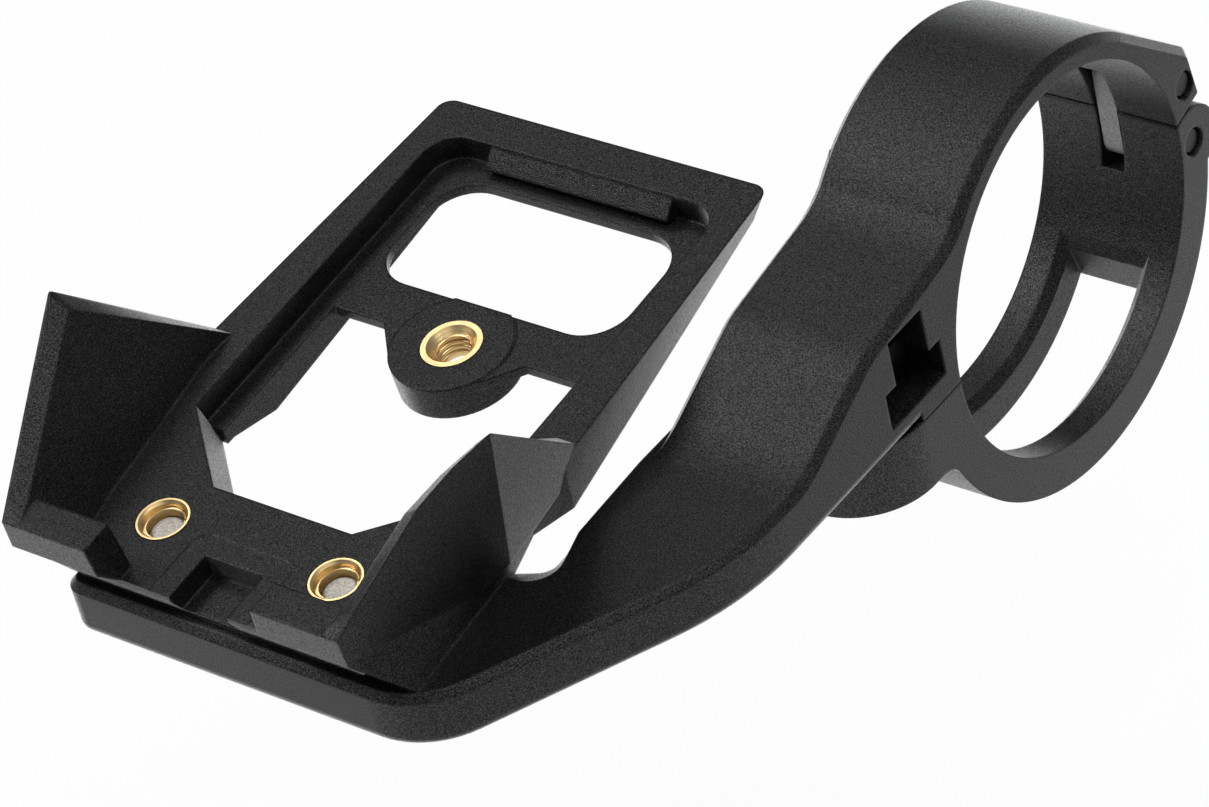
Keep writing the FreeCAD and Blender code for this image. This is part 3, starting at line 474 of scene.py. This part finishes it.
# %% Dark steel finish
BLACKENED = (0.055, 0.055, 0.06)
BLACK_ROUGH = 0.34
ACROSS = (0.0, math.radians(90.0), 0.0)
UPRIGHT = (0.0, 0.0, 0.0)
PIN_LINE = 17.7
BODY_PIN_HEIGHT = 4.5
STRAP_PIN_HEIGHT = -1.1
SCREW_LINE = -21.0
steel_places = {
    "hinge_pin_body": ((0.0, PIN_LINE, BODY_PIN_HEIGHT), ACROSS),
    "hinge_pin_strap": ((0.0, PIN_LINE, STRAP_PIN_HEIGHT), ACROSS),
    "clamp_screw": ((0.0, SCREW_LINE, 0.0), UPRIGHT),
    "clamp_nut": ((0.0, SCREW_LINE, 0.0), UPRIGHT),
}
steel_of = {}
for piece, (centre, turn) in steel_places.items():
    steel_of[piece] = turned_metal(
        f"steel_{piece}", Vector(centre) * MM, turn, BLACKENED, BLACK_ROUGH)
    dress(piece, steel_of[piece])
link_steel = blasted_steel("link_steel", dark=(0.22, 0.22, 0.22), pale=(0.42, 0.42, 0.41))
dress("hinge_link", link_steel)

# %% [markdown]
# ## Threads
# A screw thread is one ridge that winds up a cylinder, so it follows a rule and suits Geometry
# Nodes: a spiral curve carries a small diamond section, half of it sunk in the wall behind. The
# same tree serves the brass bushes and the clamp screw with other sizes. Its result is turned into
# a plain mesh at the end, because only meshes travel with the model.

# %% Thread tree
SPIRAL_STEPS = 48
SECTION_CORNERS = 4


def thread_tree():
    """Geometry nodes that wind a ridge, with its sizes, place and finish as inputs."""
    tree = bpy.data.node_groups.new("thread_ridge", "GeometryNodeTree")
    face = tree.interface
    for label, kind in (("Radius", "Float"), ("Turns", "Float"), ("Pitch", "Float"),
                        ("Ridge", "Float"), ("Place", "Vector"), ("Tilt", "Vector"),
                        ("Finish", "Material")):
        face.new_socket(name=label, in_out="INPUT", socket_type="NodeSocket" + kind)
    face.new_socket(name="Thread", in_out="OUTPUT", socket_type="NodeSocketGeometry")
    given = tree.nodes.new("NodeGroupInput")
    made = tree.nodes.new("NodeGroupOutput")
    rise = add(tree, "ShaderNodeMath", {"operation": "MULTIPLY"})
    spiral = add(tree, "GeometryNodeCurveSpiral", Resolution=SPIRAL_STEPS)
    section = add(tree, "GeometryNodeCurvePrimitiveCircle", Resolution=SECTION_CORNERS)
    ridge = add(tree, "GeometryNodeCurveToMesh", Fill_Caps=True)
    seat = add(tree, "GeometryNodeTransform")
    real = add(tree, "GeometryNodeRealizeInstances")
    finish = add(tree, "GeometryNodeSetMaterial")
    wire(
        tree,
        (given, "Turns", rise, 0),
        (given, "Pitch", rise, 1),
        (given, "Turns", spiral, "Rotations"),
        (given, "Radius", spiral, "Start Radius"),
        (given, "Radius", spiral, "End Radius"),
        (rise, 0, spiral, "Height"),
        (given, "Ridge", section, "Radius"),
        (spiral, "Curve", ridge, "Curve"),
        (section, "Curve", ridge, "Profile Curve"),
        (ridge, "Mesh", seat, "Geometry"),
        (given, "Place", seat, "Translation"),
        (given, "Tilt", seat, "Rotation"),
        (seat, "Geometry", real, "Geometry"),
        (real, "Geometry", finish, "Geometry"),
        (given, "Finish", finish, "Material"),
        (finish, "Geometry", made, "Thread"),
    )
    return tree


def grown(name, tree, **sizes):
    """Run a tree on an empty mesh with these inputs and keep its result as a plain mesh object."""
    seed = bpy.data.objects.new(name + "_seed", bpy.data.meshes.new(name + "_seed"))
    scene.collection.objects.link(seed)
    modifier = seed.modifiers.new("grow", "NODES")
    modifier.node_group = tree
    for item in tree.interface.items_tree:
        if item.in_out == "INPUT":
            modifier[item.identifier] = sizes[item.name]
    bpy.context.view_layer.update()
    graph = bpy.context.evaluated_depsgraph_get()
    mesh = bpy.data.meshes.new_from_object(seed.evaluated_get(graph))
    mesh.name = name
    bpy.data.objects.remove(seed)
    made = bpy.data.objects.new(name, mesh)
    scene.collection.objects.link(made)
    print(name, "has", len(mesh.polygons), "faces")
    return made


thread_ridge = thread_tree()
print("thread tree:", len(thread_ridge.nodes), "nodes")

# %% [markdown]
# ## Thread of the rear bush
# Nearly four turns of an M3 thread line the rear bush. The ridge starts just above the bush's lower
# end and stops under the bevel of its mouth.

# %% Rear bush thread
M3_PITCH = 0.5 * MM
BUSH_BORE = 1.5 * MM
BUSH_RIDGE = 0.24 * MM
BUSH_LENGTH = 2.8
BUSH_MOUTH = 0.55
THREAD_START = 0.25
TURNS_SPARED = 0.6
bush_turns = (BUSH_LENGTH - BUSH_MOUTH) * MM / M3_PITCH - TURNS_SPARED
rear_thread = grown(
    "rear_insert_thread", thread_ridge, Radius=BUSH_BORE, Turns=bush_turns, Pitch=M3_PITCH,
    Ridge=BUSH_RIDGE, Place=on_cradle(0.0, REAR_INSERT, THREAD_START + BOSS_TOP - BUSH_LENGTH),
    Tilt=tilted, Finish=brass_of["rear_insert"])
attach(rear_thread, "mount")

# %% [markdown]
# ## Threads of the front bushes
# The front bushes hold their set screws a little below the mouth, so less than one turn is left
# bare above each of them. The same tree makes it, wider and shorter.

# %% Front bush threads
FRONT_BORE = 1.62 * MM
FRONT_RIDGE = 0.16 * MM
FRONT_BARE = -0.98
FRONT_TURNS = 0.9
for side, across in (("left", -INSERT_GAP), ("right", INSERT_GAP)):
    front_thread = grown(
        f"front_insert_{side}_thread", thread_ridge, Radius=FRONT_BORE, Turns=FRONT_TURNS,
        Pitch=M3_PITCH, Ridge=FRONT_RIDGE, Place=on_cradle(across, 0.0, FRONT_BARE), Tilt=tilted,
        Finish=brass_of[f"front_insert_{side}"])
    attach(front_thread, "mount")

# %% [markdown]
# ## Clamp screw
# The solid screw is a plain cylinder as thick as the tops of its thread. The real one has a thinner
# core with the thread standing on it, so this piece takes the solid's place: a head with its
# hexagon socket and the core, drawn as rings that are round or six-sided.

# %% Clamp screw
SEAT_HEIGHT = -2.6
HEAD_RADIUS = 3.4
HEAD_HEIGHT = 3.2
HEAD_EDGE = 0.3
SOCKET_HALF = 1.5
SOCKET_DEPTH = 1.8
CORE_RADIUS = 1.62
TIP_HEIGHT = 7.0
SCREW_SIDES = 48
head_low = SEAT_HEIGHT - HEAD_HEIGHT


def screw_ring(radius, height, sixfold=False):
    """A round ring of the screw, or the outline of its socket, in millimetres."""
    def point(angle):
        reach = radius
        if sixfold:
            sixth = math.pi / 3.0
            reach = radius / math.cos(angle % sixth - sixth / 2.0)
        across, along = reach * math.cos(angle), reach * math.sin(angle)
        return (across * MM, (SCREW_LINE + along) * MM, height * MM)
    return point


screw_mesh = ring_mesh("clamp_screw_turned", [
    screw_ring(0.0, head_low + SOCKET_DEPTH),
    screw_ring(SOCKET_HALF, head_low + SOCKET_DEPTH, sixfold=True),
    screw_ring(SOCKET_HALF, head_low, sixfold=True),
    screw_ring(HEAD_RADIUS - HEAD_EDGE, head_low),
    screw_ring(HEAD_RADIUS, head_low + HEAD_EDGE),
    screw_ring(HEAD_RADIUS, SEAT_HEIGHT),
    screw_ring(CORE_RADIUS, SEAT_HEIGHT),
    screw_ring(CORE_RADIUS, TIP_HEIGHT - HEAD_EDGE),
    screw_ring(CORE_RADIUS - HEAD_EDGE, TIP_HEIGHT),
    screw_ring(0.0, TIP_HEIGHT),
], SCREW_SIDES)
screw_mesh.materials.append(steel_of["clamp_screw"])
turned_screw = bpy.data.objects.new("clamp_screw_turned", screw_mesh)
scene.collection.objects.link(turned_screw)
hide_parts("clamp_screw")
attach(turned_screw, "screw")
print("clamp_screw_turned has", len(screw_mesh.polygons), "faces")

# %% [markdown]
# ## Thread of the clamp screw
# The M4 ridge winds up the core from one pitch above the head's seat to one pitch below the tip.
# It turns with the screw, so it rides on the same body.

# %% Clamp screw thread
M4_PITCH = 0.7
THREAD_TOP = 1.95
screw_turns = (TIP_HEIGHT - SEAT_HEIGHT - 2.0 * M4_PITCH) / M4_PITCH
screw_thread = grown(
    "clamp_screw_thread", thread_ridge, Radius=CORE_RADIUS * MM, Turns=screw_turns,
    Pitch=M4_PITCH * MM, Ridge=(THREAD_TOP - CORE_RADIUS) * MM,
    Place=Vector((0.0, SCREW_LINE, SEAT_HEIGHT + M4_PITCH)) * MM, Tilt=UPRIGHT,
    Finish=steel_of["clamp_screw"])
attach(screw_thread, "screw")
